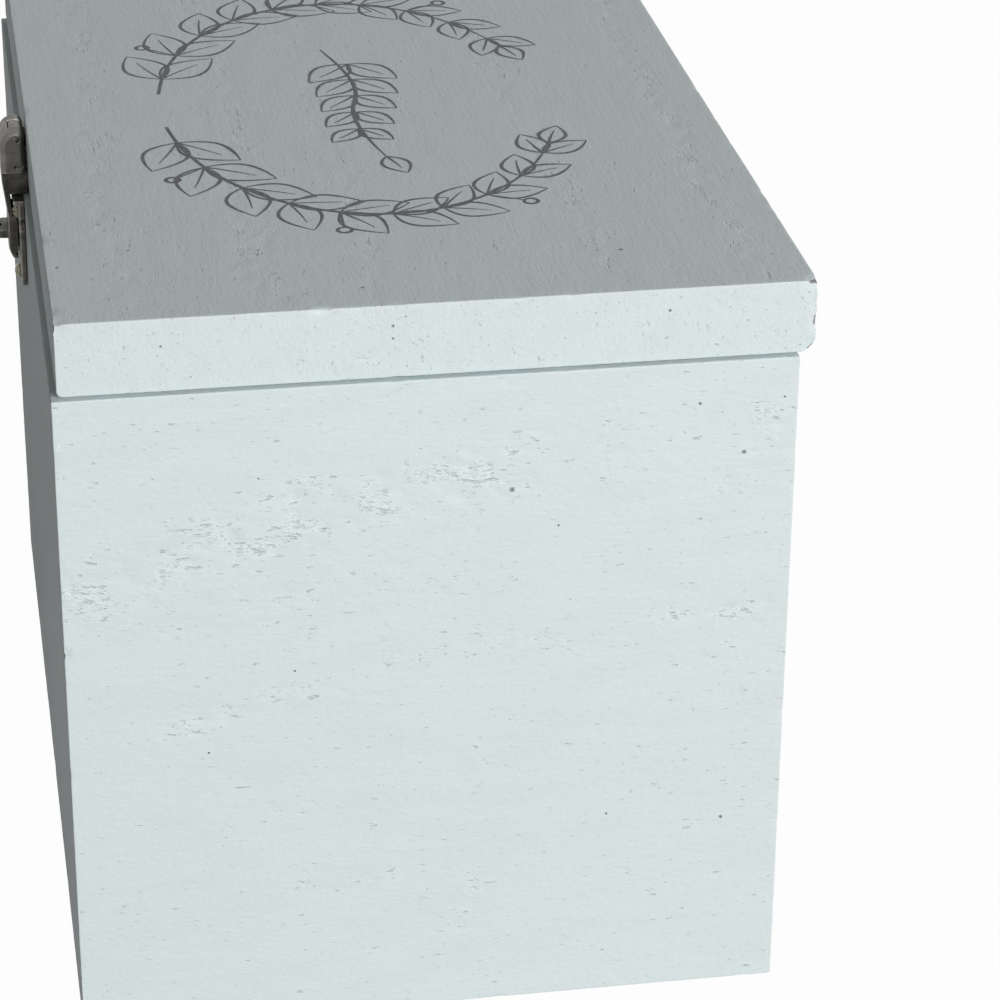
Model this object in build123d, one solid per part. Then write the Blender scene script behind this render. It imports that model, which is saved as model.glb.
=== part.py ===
from build123d import *
import os

# Keepsake box: a painted wooden box with a hinged lid and a small cast hasp on its front.
# X runs along the box's length, Y from the front (negative) to the back, and Z up.
# The origin is the centre of the box's underside, on the surface that it stands on.
# Every size is in millimetres.

# Box boards
box_length = 198.0
box_depth = 127.0
body_height = 125.4
wall = 9.5
rabbet_depth = 4.75
edge_easing = 0.3

# Bottom panel, flush in a rabbet along the boards' lower inner edges
panel_thickness = 4.0
panel_side_play = 0.4

# Lid board
lid_thickness = 13.24
seam_gap = 0.36
lid_front_setback = 1.0
lid_back_overhang = 2.7
lid_end_setback = 0.7
lid_top_rounding = 0.4
lid_front_rounding = 1.2
lid_back_rounding = 2.7
lid_end_rounding = 0.3

# Brads through the end boards and up through the bottom panel
brad_radius = 0.6
brad_head_radius = 0.95
brad_head_thickness = 0.5
brad_length = 25.0
brads_per_joint = 3
brad_end_margin = 18.0
panel_brad_length = 16.0
panel_brad_x_spacing = 66.0
panel_brad_y_spacing = 56.0

# Lid hinges
hinge_length = 25.0
hinge_inset = 38.0
leaf_width = 8.0
leaf_thickness = 0.9
knuckle_radius = 1.6
knuckle_count = 5
knuckle_gap = 0.2
hinge_pin_radius = 0.75
hinge_pin_head_radius = 1.2
hinge_pin_head_length = 0.5
pin_clearance = 0.05
gain_play = 0.2
barrel_play = 0.3
hinge_screw_spacing = 15.0
hinge_screw_setback = 4.7
hinge_screw_head_radius = 1.9
hinge_screw_radius = 1.0
hinge_screw_length = 9.0

# Hasp leaf and hasp pin, on the lid's front edge
hasp_axis_drop = 2.5
hasp_axis_depth = 1.85
hasp_knuckle_radius = 1.6
hasp_knuckle_width = 3.4
hasp_pin_radius = 0.6
hasp_leaf_width = 7.4
hasp_leaf_height = 4.0
hasp_leaf_thickness = 0.8
hasp_leaf_screw_spacing = 3.8
hasp_leaf_screw_head_radius = 1.2
hasp_leaf_screw_radius = 0.7
hasp_leaf_screw_length = 6.5

# Hasp strap: a domed shell with a slotted tongue below it
shell_width = 10.4
shell_wall = 1.2
shell_depth = 4.9
shell_drop = 8.3
shell_rounding = 1.0
shell_back_gap = 0.15
hub_play = 0.15
shell_groove_height = 0.5
shell_groove_depth = 0.3
shell_groove_lift = 1.0
tongue_width = 9.0
tongue_thickness = 0.9
tongue_gap = 0.2
tongue_lap = 3.0
tongue_bend_drop = 1.8
tongue_tip_drop = 25.3
flange_wall = 0.6
flange_foot_lift = 0.3

# Catch plate, staple and their screws, on the front board
catch_drop = 0.3
catch_width = 15.0
catch_length = 19.9
catch_thickness = 1.2
catch_lobe_radius = 3.0
cornice_height = 0.9
cornice_depth = 2.05
boss_width = 7.4
boss_depth = 1.95
boss_length = 9.6
catch_edge_rounding = 0.3
staple_width = 6.6
staple_thickness = 1.6
staple_reach = 7.5
staple_drop = 7.3
staple_tenon_width = 4.6
staple_eye_radius = 1.25
staple_eye_wall = 0.85
slot_side_play = 0.2
slot_top_play = 0.3
slot_swing_play = 1.15
catch_screw_spacing = 10.8
catch_screw_drop = 2.6
catch_screw_head_radius = 1.5
catch_screw_head_height = 1.1
catch_screw_radius = 0.9
catch_screw_length = 7.0

# Screw recesses
slot_width = 0.45
slot_depth = 0.45

# Places that follow from the sizes
half_length = box_length / 2
half_depth = box_depth / 2
inner_x = half_length - wall
inner_y = half_depth - wall
lid_bottom = body_height + seam_gap
lid_top = lid_bottom + lid_thickness
lid_front = -half_depth + lid_front_setback
lid_back = half_depth + lid_back_overhang
lid_half_length = half_length - lid_end_setback
lid_axis_y = half_depth
lid_axis_z = body_height + seam_gap / 2
hinge_places = {"left": -half_length + hinge_inset, "right": half_length - hinge_inset}
hasp_axis_y = lid_front - hasp_axis_depth
hasp_axis_z = lid_top - hasp_axis_drop
hasp_leaf_top = hasp_axis_z - hasp_knuckle_radius - gain_play
shell_bottom = hasp_axis_z + hasp_knuckle_radius - shell_drop
catch_top = body_height - catch_drop
catch_bottom = catch_top - catch_length
staple_top = catch_top - staple_drop
staple_bottom = staple_top - staple_thickness
beyond = 5.0


def block(x, y, z):
    """Box between two limits along each axis."""
    centre = Pos((x[0] + x[1]) / 2, (y[0] + y[1]) / 2, (z[0] + z[1]) / 2)
    return centre * Box(abs(x[1] - x[0]), abs(y[1] - y[0]), abs(z[1] - z[0]))


def rod_along_x(radius, x, y, z):
    """Round bar parallel to X between two limits."""
    return Pos((x[0] + x[1]) / 2, y, z) * Rot(0, 90, 0) * Cylinder(radius, abs(x[1] - x[0]))


def edges_off_plane(solid, axis, value):
    """Edges of a solid that don't lie in the plane where one coordinate has a value."""
    def lies_in_plane(edge):
        ends = [edge @ 0, edge @ 0.5, edge @ 1]
        return all(abs(getattr(point, axis) - value) < 1e-4 for point in ends)
    return [edge for edge in solid.edges() if not lies_in_plane(edge)]


def edges_along(solid, axis, **where):
    """Straight edges parallel to an axis whose middles have the given coordinates."""
    found = []
    for edge in solid.edges().filter_by(axis):
        middle = edge @ 0.5
        if all(abs(getattr(middle, name.upper()) - value) < 1e-4 for name, value in where.items()):
            found.append(edge)
    return found


def flat_screw(head_radius, radius, length, slotted=True):
    """Countersunk wood screw: its flat head at Z 0, its shank down."""
    head_height = head_radius - radius
    head = Pos(0, 0, -head_height / 2) * Cone(radius, head_radius, head_height)
    return finish_screw(head, 0, head_radius, radius, length, slotted)


def round_screw(head_radius, head_height, radius, length, slotted=True):
    """Round-head wood screw: the underside of its domed head at Z 0, its shank down."""
    sphere_radius = (head_radius ** 2 + head_height ** 2) / (2 * head_height)
    ball = Pos(0, 0, head_height - sphere_radius) * Sphere(sphere_radius)
    head = ball & block((-head_radius, head_radius), (-head_radius, head_radius), (0, head_height))
    return finish_screw(head, head_height, head_radius, radius, length, slotted)


def finish_screw(head, head_top, head_radius, radius, length, slotted):
    """Head with a shank, a point and, unless it is a cutter, a slot."""
    point = radius * 2
    shank = Pos(0, 0, -(length - point) / 2) * Cylinder(radius, length - point)
    tip = Pos(0, 0, -length + point / 2) * Cone(0.05, radius, point)
    screw = head + shank + tip
    if slotted:
        across = (-head_radius - beyond, head_radius + beyond)
        screw -= block(across, (-slot_width / 2, slot_width / 2), (head_top - slot_depth, head_top + beyond))
    return screw


def brad(length):
    """Brad with a flat head: the head's top at Z 0, the shank down."""
    shank_length = length - brad_head_thickness
    head = Pos(0, 0, -brad_head_thickness / 2) * Cylinder(brad_head_radius, brad_head_thickness)
    return head + Pos(0, 0, -brad_head_thickness - shank_length / 2) * Cylinder(brad_radius, shank_length)


def end_brads(side):
    """Brads of one end board, in a column at each corner joint, their heads flush with its outer face."""
    spacing = (body_height - 2 * brad_end_margin) / (brads_per_joint - 1)
    column = (half_depth + inner_y) / 2
    rows = [brad_end_margin + row * spacing for row in range(brads_per_joint)]
    return [
        Pos(side * half_length, y, z) * Rot(0, side * 90, 0) * brad(brad_length)
        for y in (-column, column) for z in rows
    ]


def panel_brads():
    """Brads up through the bottom panel: three into each long board and two into each end board."""
    lap = (rabbet_depth - panel_side_play) / 2
    x = inner_x + lap
    y = inner_y + lap
    places = [(way * panel_brad_x_spacing, side * y) for way in (-1, 0, 1) for side in (-1, 1)]
    places += [(side * x, way * panel_brad_y_spacing / 2) for way in (-1, 1) for side in (-1, 1)]
    return [Pos(*place, 0) * Rot(180, 0, 0) * brad(panel_brad_length) for place in places]


def panel_space():
    """Space of the rabbet that the bottom panel is let into."""
    x = inner_x + rabbet_depth
    y = inner_y + rabbet_depth
    return block((-x, x), (-y, y), (-beyond, panel_thickness))


def bottom_panel():
    """Thin panel whose underside is flush with the boards' lower edges."""
    x = inner_x + rabbet_depth - panel_side_play
    y = inner_y + rabbet_depth - panel_side_play
    panel = block((-x, x), (-y, y), (0, panel_thickness))
    for one in panel_brads():
        panel -= one
    return panel


def end_board(side):
    """Full-width end board, rabbeted at both upright inner edges and for the bottom panel."""
    board = block((side * inner_x, side * half_length), (-half_depth, half_depth), (0, body_height))
    board = fillet(edges_off_plane(board, "X", side * inner_x), edge_easing)
    for way in (-1, 1):
        board -= block(
            (side * (inner_x - beyond), side * (inner_x + rabbet_depth)),
            (way * inner_y, way * (half_depth + beyond)),
            (-beyond, body_height + beyond),
        )
    board -= panel_space()
    for one in end_brads(side) + panel_brads():
        board -= one
    return board


def long_board(way):
    """Front or back board, whose ends stand in the end boards' rabbets."""
    x = inner_x + rabbet_depth
    board = block((-x, x), (way * inner_y, way * half_depth), (0, body_height))
    board = fillet(edges_along(board, Axis.X, y=way * half_depth), edge_easing)
    board -= panel_space()
    for one in end_brads(-1) + end_brads(1) + panel_brads():
        board -= one
    return board


def hinge_screw_places(place):
    """X and Y of the screws in one hinge leaf."""
    y = lid_axis_y - hinge_screw_setback
    return [(place - hinge_screw_spacing / 2, y), (place + hinge_screw_spacing / 2, y)]


def hinge_screws(place, on_lid, slotted=True):
    """Countersunk screws of one hinge leaf, down into the back board or up into the lid."""
    screw = flat_screw(hinge_screw_head_radius, hinge_screw_radius, hinge_screw_length, slotted)
    if on_lid:
        return [Pos(x, y, lid_bottom) * Rot(180, 0, 0) * screw for x, y in hinge_screw_places(place)]
    return [Pos(x, y, body_height) * screw for x, y in hinge_screw_places(place)]


def hinge_gain(place, up):
    """Space cut for one hinge leaf and its half of the barrel: up 1 in the lid, -1 in the back board."""
    surface = lid_axis_z + up * seam_gap / 2
    leaf_half = hinge_length / 2 + gain_play
    barrel_half = hinge_length / 2 + hinge_pin_head_length + barrel_play
    barrel_room = knuckle_radius + barrel_play
    open_back = (lid_axis_y - barrel_room, lid_back + beyond)
    leaf = block(
        (place - leaf_half, place + leaf_half),
        (lid_axis_y - leaf_width - gain_play, lid_back + beyond),
        (surface - up * beyond, surface + up * leaf_thickness),
    )
    barrel = block(
        (place - barrel_half, place + barrel_half), open_back,
        (surface - up * beyond, lid_axis_z + up * barrel_room),
    )
    return leaf + barrel


def knuckle_spans():
    """Start and end of each knuckle along the barrel, from the hinge's middle."""
    pitch = hinge_length / knuckle_count
    starts = [-hinge_length / 2 + index * pitch for index in range(knuckle_count)]
    return [(start + knuckle_gap / 2, start + pitch - knuckle_gap / 2) for start in starts]


def hinge_leaf(place, up):
    """Hinge leaf with its knuckles: up 1 for the lid's leaf, -1 for the box's."""
    surface = lid_axis_z + up * seam_gap / 2
    half = hinge_length / 2
    leaf = block(
        (place - half, place + half), (lid_axis_y - leaf_width, lid_axis_y),
        (surface, surface + up * leaf_thickness),
    )
    first = 1 if up > 0 else 0
    clear_radius = knuckle_radius + barrel_play
    for index, (start, end) in enumerate(knuckle_spans()):
        if index % 2 == first:
            leaf += rod_along_x(knuckle_radius, (place + start, place + end), lid_axis_y, lid_axis_z)
        else:
            leaf -= block(
                (place + start - knuckle_gap, place + end + knuckle_gap),
                (lid_axis_y - clear_radius, lid_axis_y + beyond),
                (lid_axis_z - beyond, lid_axis_z + beyond),
            )
    bore = hinge_pin_radius + (pin_clearance if up > 0 else 0)
    leaf -= rod_along_x(bore, (place - half - beyond, place + half + beyond), lid_axis_y, lid_axis_z)
    for screw in hinge_screws(place, up > 0, slotted=False):
        leaf -= screw
    return leaf


def hinge_pin(place):
    """Hinge pin with a rounded head at both ends."""
    half = hinge_length / 2
    pin = rod_along_x(hinge_pin_radius, (place - half, place + half), lid_axis_y, lid_axis_z)
    for way in (-1, 1):
        end = place + way * half
        head = rod_along_x(hinge_pin_head_radius, (end, end + way * hinge_pin_head_length), lid_axis_y, lid_axis_z)
        outer = head.faces().sort_by(Axis.X)[-1 if way > 0 else 0]
        pin += fillet(outer.edges(), hinge_pin_head_length * 0.6)
    return pin


def back_board():
    """Back board with a gain for each hinge."""
    board = long_board(1)
    for place in hinge_places.values():
        board -= hinge_gain(place, -1)
        for screw in hinge_screws(place, False, slotted=False):
            board -= screw
    return board


def hasp_leaf_screws(slotted=True):
    """The hasp leaf's two screws, side by side."""
    screw = flat_screw(hasp_leaf_screw_head_radius, hasp_leaf_screw_radius, hasp_leaf_screw_length, slotted)
    face = lid_front - hasp_leaf_thickness
    middle = hasp_leaf_top - hasp_leaf_height / 2
    half = hasp_leaf_screw_spacing / 2
    return [Pos(x, face, middle) * Rot(90, 0, 0) * screw for x in (-half, half)]


def hasp_leaf():
    """Small plate on the lid's front edge, rolled into one knuckle at its top."""
    y = (lid_front - hasp_leaf_thickness, lid_front)
    bottom = hasp_leaf_top - hasp_leaf_height
    plate = block((-hasp_leaf_width / 2, hasp_leaf_width / 2), y, (bottom, hasp_leaf_top))
    half_knuckle = hasp_knuckle_width / 2
    plate += block((-half_knuckle, half_knuckle), y, (bottom, hasp_axis_z))
    plate += rod_along_x(hasp_knuckle_radius, (-half_knuckle, half_knuckle), hasp_axis_y, hasp_axis_z)
    plate -= hasp_pin()
    for screw in hasp_leaf_screws(slotted=False):
        plate -= screw
    return plate


def hasp_pin():
    """Pin whose ends are filed flush with the shell's sides."""
    half = shell_width / 2
    return rod_along_x(hasp_pin_radius, (-half, half), hasp_axis_y, hasp_axis_z)


def across(profile, width):
    """Solid of a Y-Z outline, centred across the clasp."""
    return extrude(Plane.YZ * profile, width / 2, both=True)


def shell_outline():
    """Side view of the shell: round over the pin, then a larger arc down to its flat front."""
    back = lid_front - shell_back_gap
    front = lid_front - shell_depth
    crown = hasp_axis_z + hasp_knuckle_radius
    behind_pin = (hasp_axis_y + hasp_knuckle_radius, hasp_axis_z)
    arc_radius = hasp_axis_y - front
    lines = [
        Line((back, shell_bottom), behind_pin),
        RadiusArc(behind_pin, (hasp_axis_y, crown), -hasp_knuckle_radius),
        RadiusArc((hasp_axis_y, crown), (front, crown - arc_radius), -arc_radius),
        Line((front, crown - arc_radius), (front, shell_bottom)),
        Line((front, shell_bottom), (back, shell_bottom)),
    ]
    return make_face(lines)


def tongue_points():
    """Side view of the tongue's middle line: down from the shell, in over the boss, then in at its tip."""
    body_front = -half_depth
    outer = lid_front - shell_depth + tongue_thickness / 2
    over_boss = body_front - boss_depth - tongue_gap - tongue_thickness / 2
    over_plate = body_front - catch_thickness - tongue_gap - tongue_thickness / 2
    return [
        (outer, shell_bottom + tongue_lap),
        (outer, shell_bottom - tongue_bend_drop),
        (over_boss, catch_top - catch_screw_drop - catch_screw_head_radius),
        (over_boss - gain_play, catch_top - boss_length - cornice_height),
        (over_plate, hasp_axis_z - tongue_tip_drop),
    ]


def tongue_outline():
    """Side view of the tongue, with its bends rounded."""
    path = FilletPolyline(*tongue_points(), radius=2 * tongue_thickness)
    return trace(path, line_width=tongue_thickness)


def flange_outlines():
    """Side views of the tongue's flanges: one back to the lid, one back to the plate below its screws."""
    start, bend, over_screws, past_boss, tip = tongue_points()
    back = lid_front - shell_back_gap
    body_back = -half_depth - shell_back_gap
    foot = catch_top + flange_foot_lift
    share = (bend[1] - foot) / (bend[1] - over_screws[1])
    above_foot = (bend[0] + share * (over_screws[0] - bend[0]), foot)
    upper = Polyline(
        start, bend, above_foot, (body_back, foot), (body_back, lid_bottom), (back, lid_bottom), (back, start[1]),
        close=True,
    )
    plate = -half_depth - catch_thickness - tongue_gap
    lower = Polyline(over_screws, past_boss, tip, (plate, tip[1]), (plate, over_screws[1]), close=True)
    return [make_face(upper), make_face(lower)]


def hasp_strap():
    """Domed hasp: shell, hubs round the pin, and the slotted tongue."""
    half = shell_width / 2
    inner = half - shell_wall
    front = lid_front - shell_depth
    strap = across(shell_outline(), shell_width)
    outline = [
        edge for edge in strap.edges()
        if abs(abs((edge @ 0.5).X) - half) < 1e-4 and (edge @ 0.5).Y < hasp_axis_y
        and (edge @ 0.5).Z > shell_bottom + 0.01
    ]
    strap = fillet(outline, shell_rounding)

    room = block(
        (-inner, inner), (front + tongue_thickness, lid_front + beyond), (shell_bottom - beyond, hasp_axis_z)
    )
    knuckle_room = hasp_knuckle_width / 2 + hub_play
    for way in (-1, 1):
        hub = rod_along_x(hasp_knuckle_radius, (way * knuckle_room, way * half), hasp_axis_y, hasp_axis_z)
        room -= hub
    strap -= room
    strap -= rod_along_x(hasp_knuckle_radius + hub_play, (-knuckle_room, knuckle_room), hasp_axis_y, hasp_axis_z)
    strap -= block(
        (-knuckle_room, knuckle_room), (hasp_axis_y - hasp_knuckle_radius + gain_play, lid_front + beyond),
        (hasp_axis_z - hasp_knuckle_radius, lid_top + beyond),
    )
    strap -= rod_along_x(hasp_pin_radius + pin_clearance, (-half - beyond, half + beyond), hasp_axis_y, hasp_axis_z)
    for way in (-1, 1):
        strap -= block(
            (way * (half - shell_groove_depth), way * (half + beyond)),
            (hasp_axis_y - shell_groove_lift / 2, lid_front + beyond),
            (shell_bottom + shell_groove_lift, shell_bottom + shell_groove_lift + shell_groove_height),
        )
    return strap + hasp_tongue()


def hasp_tongue():
    """Flanged tongue with a round end and the slot that the staple passes through."""
    tongue = across(tongue_outline(), tongue_width)
    for outline in flange_outlines():
        inner = tongue_width / 2 - flange_wall
        tongue += across(outline, tongue_width) - across(outline, 2 * inner)
    tip = tongue.bounding_box().min.Z
    radius = tongue_width / 2
    y = (lid_front - shell_depth - beyond, -half_depth + beyond)
    round_end = Pos(0, (y[0] + y[1]) / 2, tip + radius) * Rot(90, 0, 0) * Cylinder(radius, y[1] - y[0])
    view = block((-radius, radius), y, (tip + radius, lid_top)) + round_end
    tongue &= view
    slot_half = staple_width / 2 + slot_side_play
    return tongue - block((-slot_half, slot_half), y, (staple_bottom - slot_swing_play, staple_top + slot_top_play))


def lid_outline():
    """Lid's section across its length, with its own rounding at each edge."""
    board = Polyline(
        (lid_front, lid_bottom), (lid_back, lid_bottom), (lid_back, lid_top), (lid_front, lid_top), close=True
    )
    section = make_face(board)
    corners = section.vertices()
    bottom = corners.group_by(Axis.Y)[0].sort_by(Axis.X)
    section = fillet(bottom[0], lid_front_rounding)
    bottom = section.vertices().group_by(Axis.Y)[0].sort_by(Axis.X)
    section = fillet(bottom[-1], lid_back_rounding)
    return fillet(section.vertices().group_by(Axis.Y)[-1], lid_top_rounding)


def lid_board():
    """Lid board with its edges rounded and its hinge gains and screw holes cut."""
    lid = extrude(Plane.YZ * lid_outline(), lid_half_length, both=True)
    ends = [edge for edge in lid.edges() if abs(abs((edge @ 0.5).X) - lid_half_length) < 1e-4]
    lid = fillet(ends, lid_end_rounding)
    for place in hinge_places.values():
        lid -= hinge_gain(place, 1)
        for screw in hinge_screws(place, True, slotted=False):
            lid -= screw
    for screw in hasp_leaf_screws(slotted=False):
        lid -= screw
    return lid


def catch_screw_places():
    """X and Z of the catch plate's screws: one in each ear and one in the lobe."""
    ear = catch_top - catch_screw_drop
    half = catch_screw_spacing / 2
    return [(-half, ear), (half, ear), (0, catch_bottom + catch_lobe_radius)]


def catch_screws(slotted=True):
    screw = round_screw(
        catch_screw_head_radius, catch_screw_head_height, catch_screw_radius, catch_screw_length, slotted
    )
    face = -half_depth - catch_thickness
    return [Pos(x, face, z) * Rot(90, 0, 0) * screw for x, z in catch_screw_places()]


def catch_outline():
    """Front view of the catch plate: two pairs of ears with a notch between, then a taper to a lobe."""
    half = catch_width / 2
    lobe = catch_lobe_radius
    right = [
        (half, catch_top),
        (half, catch_top - 3.5),
        (half - 1.2, catch_top - 4.9),
        (half - 0.3, catch_top - 6.3),
        (half - 2.4, catch_top - 8.3),
        (half - 3.0, catch_top - 12.0),
        (lobe, catch_bottom + lobe),
    ]
    left = [(-x, z) for x, z in reversed(right)]
    plate = make_face(Polyline(*right, *left, close=True))
    return plate + Pos(0, catch_bottom + lobe) * Circle(lobe)


def catch_plate():
    """Cast plate with a cornice along its top and a boss for the staple."""
    face = -half_depth
    plate = extrude(Plane.XZ.offset(-face) * catch_outline(), catch_thickness)
    rim = plate.faces().sort_by(Axis.Y)[0].edges()
    plate = fillet(rim, catch_edge_rounding)
    half = catch_width / 2
    cornice = block((-half, half), (face, face - cornice_depth), (catch_top - cornice_height, catch_top))
    cornice = fillet(edges_along(cornice, Axis.X, y=face - cornice_depth), catch_edge_rounding)
    boss_low = catch_top - cornice_height - boss_length
    boss = block(
        (-boss_width / 2, boss_width / 2), (face, face - boss_depth), (boss_low, catch_top - cornice_height)
    )
    boss = fillet(edges_along(boss, Axis.Z, y=face - boss_depth), catch_edge_rounding)
    plate = plate + cornice + boss
    plate -= staple_tenon()
    for screw in catch_screws(slotted=False):
        plate -= screw
    return plate


def staple_tenon():
    """Narrow end of the staple, through the boss to the back of the plate."""
    half = staple_tenon_width / 2
    return block((-half, half), (-half_depth, -half_depth - boss_depth), (staple_bottom, staple_top))


def catch_staple():
    """Flat round-ended eye on a tenon."""
    half = staple_width / 2
    shoulder = -half_depth - boss_depth
    tip = -half_depth - staple_reach
    bend = tip + half
    z = (staple_bottom, staple_top)
    eye = block((-half, half), (shoulder, bend), z)
    eye += Pos(0, bend, (z[0] + z[1]) / 2) * Cylinder(half, staple_thickness)
    eye = eye & block((-half, half), (shoulder, tip), z)
    centre = tip + staple_eye_wall + staple_eye_radius
    eye -= Pos(0, centre, (z[0] + z[1]) / 2) * Cylinder(staple_eye_radius, 3 * staple_thickness)
    return eye + staple_tenon()


def front_board():
    """Front board with the catch plate's screw holes."""
    board = long_board(-1)
    for screw in catch_screws(slotted=False):
        board -= screw
    return board


def all_parts():
    """Each node's name with its solids."""
    parts = {
        "front_board": [front_board()],
        "back_board": [back_board()],
        "left_end_board": [end_board(-1)],
        "right_end_board": [end_board(1)],
        "bottom_panel": [bottom_panel()],
        "left_end_brads": end_brads(-1),
        "right_end_brads": end_brads(1),
        "panel_brads": panel_brads(),
        "lid_board": [lid_board()],
        "hasp_leaf": [hasp_leaf()],
        "hasp_leaf_screws": hasp_leaf_screws(),
        "hasp_pin": [hasp_pin()],
        "hasp_strap": [hasp_strap()],
        "catch_plate": [catch_plate()],
        "catch_staple": [catch_staple()],
        "catch_screws": catch_screws(),
    }
    for name, place in hinge_places.items():
        parts[f"{name}_hinge_body_leaf"] = [hinge_leaf(place, -1)]
        parts[f"{name}_hinge_lid_leaf"] = [hinge_leaf(place, 1)]
        parts[f"{name}_hinge_pin"] = [hinge_pin(place)]
        parts[f"{name}_hinge_body_screws"] = hinge_screws(place, False)
        parts[f"{name}_hinge_lid_screws"] = hinge_screws(place, True)
    return parts


def write_parts():
    """One STEP file for each node."""
    os.makedirs("parts", exist_ok=True)
    for name, solids in all_parts().items():
        whole = solids[0] if len(solids) == 1 else Compound(children=solids)
        whole.label = name
        export_step(whole, f"parts/{name}.step")
        print(name, round(sum(solid.volume for solid in solids), 2))


write_parts()
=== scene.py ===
import logging
import math
from dataclasses import dataclass, field
from enum import Enum

import bmesh
import bpy
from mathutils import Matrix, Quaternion, Vector, noise


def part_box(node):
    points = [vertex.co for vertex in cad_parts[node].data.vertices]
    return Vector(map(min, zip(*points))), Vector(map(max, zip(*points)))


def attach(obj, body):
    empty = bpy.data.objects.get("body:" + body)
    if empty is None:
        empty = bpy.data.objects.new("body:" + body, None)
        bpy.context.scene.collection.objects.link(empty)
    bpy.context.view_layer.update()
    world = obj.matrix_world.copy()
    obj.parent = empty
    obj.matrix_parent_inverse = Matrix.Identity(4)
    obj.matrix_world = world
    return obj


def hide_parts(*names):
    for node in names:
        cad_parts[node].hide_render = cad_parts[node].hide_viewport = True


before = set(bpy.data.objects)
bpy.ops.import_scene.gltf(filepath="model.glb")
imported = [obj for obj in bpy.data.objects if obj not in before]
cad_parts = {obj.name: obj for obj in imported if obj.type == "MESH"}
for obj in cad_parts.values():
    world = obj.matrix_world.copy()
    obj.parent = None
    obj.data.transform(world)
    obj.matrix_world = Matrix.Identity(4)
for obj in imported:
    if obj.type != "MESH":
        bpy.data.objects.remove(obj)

# The looks of a painted wooden keepsake box with a cast hasp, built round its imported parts.
# Lengths are in metres, and in millimetres where a name ends in _mm.

LOG = logging.getLogger("keepsake_box")
MM = 0.001

# Sockets of Blender's Mix node when it mixes colours
MIX_FACTOR, MIX_A, MIX_B, MIX_RESULT = 0, 6, 7, 2


class Grain(Enum):
    """Axis that a board's grain runs along."""

    ALONG_BOX = 0
    ACROSS_BOX = 1


def linear(colour: str) -> tuple[float, float, float, float]:
    """Turn an sRGB hex colour into the linear one that shaders take.

    Args:
        colour: Six hex digits after a hash sign.

    Returns:
        Red, green, blue and a full alpha.
    """
    parts = [int(colour[place:place + 2], 16) / 255 for place in (1, 3, 5)]
    red, green, blue = [
        part / 12.92 if part <= 0.04045 else ((part + 0.055) / 1.055) ** 2.4 for part in parts
    ]
    return red, green, blue, 1.0


def add(tree: bpy.types.NodeTree, kind: str, settings: dict, inputs: dict) -> bpy.types.Node:
    """Add a node with its settings, values and links.

    Args:
        tree: Node tree that the node joins.
        kind: Blender's name for the node's type.
        settings: Properties of the node by name.
        inputs: Sockets by name or number, each with a value or with the socket that feeds it.

    Returns:
        The new node.
    """
    node = tree.nodes.new(kind)
    for name, value in settings.items():
        setattr(node, name, value)
    for name, value in inputs.items():
        if isinstance(value, bpy.types.NodeSocket):
            tree.links.new(value, node.inputs[name])
        else:
            node.inputs[name].default_value = value
    return node


def new_material(name: str) -> tuple[bpy.types.Material, bpy.types.NodeTree]:
    """Make a material whose tree holds only its output.

    Args:
        name: Name of the material.

    Returns:
        The material and its node tree.
    """
    material = bpy.data.materials.new(name)
    material.use_nodes = True
    tree = material.node_tree
    tree.nodes.clear()
    tree.nodes.new("ShaderNodeOutputMaterial")
    return material, tree


def finish_material(tree: bpy.types.NodeTree, shader: bpy.types.Node) -> None:
    """Join a shader to the tree's output."""
    tree.links.new(shader.outputs[0], tree.nodes["Material Output"].inputs["Surface"])


def mapped_noise(
    tree: bpy.types.NodeTree, size_mm: tuple[float, float, float], detail: float, roughness: float = 0.55
) -> bpy.types.NodeSocket:
    """Add noise whose blotches have a real size along each axis.

    Args:
        tree: Node tree of the material.
        size_mm: Size of one blotch along X, Y and Z.
        detail: Octaves of finer noise.
        roughness: Strength of each finer octave.

    Returns:
        The socket that gives the noise, from 0 to 1.
    """
    place = add(tree, "ShaderNodeTexCoord", {}, {})
    scale = tuple(1 / (length * MM) for length in size_mm)
    mapping = add(tree, "ShaderNodeMapping", {}, {"Vector": place.outputs["Object"], "Scale": scale})
    made = add(tree, "ShaderNodeTexNoise", {}, {
        "Vector": mapping.outputs[0], "Scale": 1.0, "Detail": detail, "Roughness": roughness,
    })
    return made.outputs[0]


def remap(
    tree: bpy.types.NodeTree, value: bpy.types.NodeSocket,
    start: tuple[float, float], end: tuple[float, float] = (0.0, 1.0),
) -> bpy.types.NodeSocket:
    """Carry one range of a value smoothly onto another.

    Args:
        tree: Node tree of the material.
        value: Socket that gives the value.
        start: Range to read.
        end: Range to give.

    Returns:
        The socket with the new value.
    """
    made = add(tree, "ShaderNodeMapRange", {"interpolation_type": "SMOOTHSTEP"}, {
        "Value": value, "From Min": start[0], "From Max": start[1], "To Min": end[0], "To Max": end[1],
    })
    return made.outputs[0]


def combine(
    tree: bpy.types.NodeTree, operation: str, *values: float | bpy.types.NodeSocket
) -> bpy.types.NodeSocket:
    """Join two or more values with one kind of arithmetic.

    Args:
        tree: Node tree of the material.
        operation: Name of the Math node's operation.
        values: Numbers and sockets, taken in order.

    Returns:
        The socket with the result.
    """
    result = values[0]
    for value in values[1:]:
        result = add(tree, "ShaderNodeMath", {"operation": operation}, {0: result, 1: value}).outputs[0]
    return result


def tint(
    tree: bpy.types.NodeTree, base: tuple | bpy.types.NodeSocket, over: tuple, amount: bpy.types.NodeSocket
) -> bpy.types.NodeSocket:
    """Lay one colour over another by an amount from 0 to 1, and give the mixed colour's socket."""
    made = add(tree, "ShaderNodeMix", {"data_type": "RGBA"}, {MIX_FACTOR: amount, MIX_A: base, MIX_B: over})
    return made.outputs[MIX_RESULT]


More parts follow.
